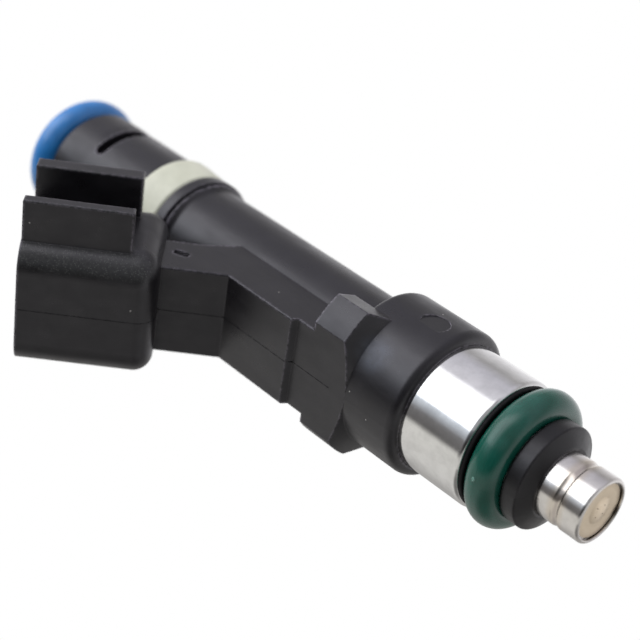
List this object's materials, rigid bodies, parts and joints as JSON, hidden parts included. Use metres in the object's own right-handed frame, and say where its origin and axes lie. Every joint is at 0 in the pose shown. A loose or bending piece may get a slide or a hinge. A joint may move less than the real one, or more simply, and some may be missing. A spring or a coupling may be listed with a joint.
{
  "type": "fuel injector",
  "caption": "Long-body side-connector port fuel injector: sealed tip, steel can, moulded body with connector arm and blade terminals, colour band, slotted inlet and a lifting needle inside.",
  "frame": {"origin": "on the injector's axis at the centre plane of the lower seal", "axes": "+Z along the axis from nozzle to fuel inlet, +X towards the side the connector is on, +Y to the side with the connector's keys"},
  "size_m": [0.0339, 0.0197, 0.0832],
  "materials": {
    "black_moulding": "satin moulded",
    "cream_moulding": "satin moulded",
    "dark_plastic": "fine grain",
    "natural_plastic": "moulded",
    "blue_seal": "smooth moulded",
    "green_seal": "smooth moulded",
    "can_steel": "bright drawn",
    "tip_steel": "ground and turned",
    "tube_steel": "drawn",
    "magnetic_steel": "turned",
    "spring_steel": "drawn wire",
    "mesh_steel": "woven",
    "ball_steel": "polished",
    "filter_brass": "drawn",
    "copper_wire": "enamelled wire",
    "tinned_brass": "tin plated"
  },
  "bodies": {
    "body": {"overmould_body": "black_moulding", "colour_band": "cream_moulding", "inlet_extension": "black_moulding", "upper_backup_ring": "black_moulding", "upper_o_ring": "blue_seal", "magnet_housing": "can_steel", "seal_support_ring": "dark_plastic", "lower_o_ring": "green_seal", "tip_cap": "dark_plastic", "nozzle_tube": "tip_steel", "orifice_plate": "tip_steel", "inlet_tube": "tube_steel", "filter_ring": "filter_brass", "filter_frame": "natural_plastic", "filter_screen": "mesh_steel", "valve_sleeve": "tube_steel", "pole_piece": "magnetic_steel", "adjusting_sleeve": "filter_brass", "return_spring": "spring_steel", "valve_seat": "ball_steel", "coil_bobbin": "natural_plastic", "coil_winding": "copper_wire", "flux_washer": "magnetic_steel", "terminal_left": "tinned_brass", "terminal_right": "tinned_brass"},
    "needle": {"armature": "magnetic_steel", "needle_tube": "tube_steel", "valve_ball": "ball_steel"}
  },
  "joints": [
    {"name": "needle_lift", "type": "slide", "parent": "body", "child": "needle", "axis": [0, 0, 1], "range_m": [0, 0.00008], "stiffness_N_per_m": 3150, "springref_m": -0.0011, "deforming": ["return_spring"]}
  ]
}
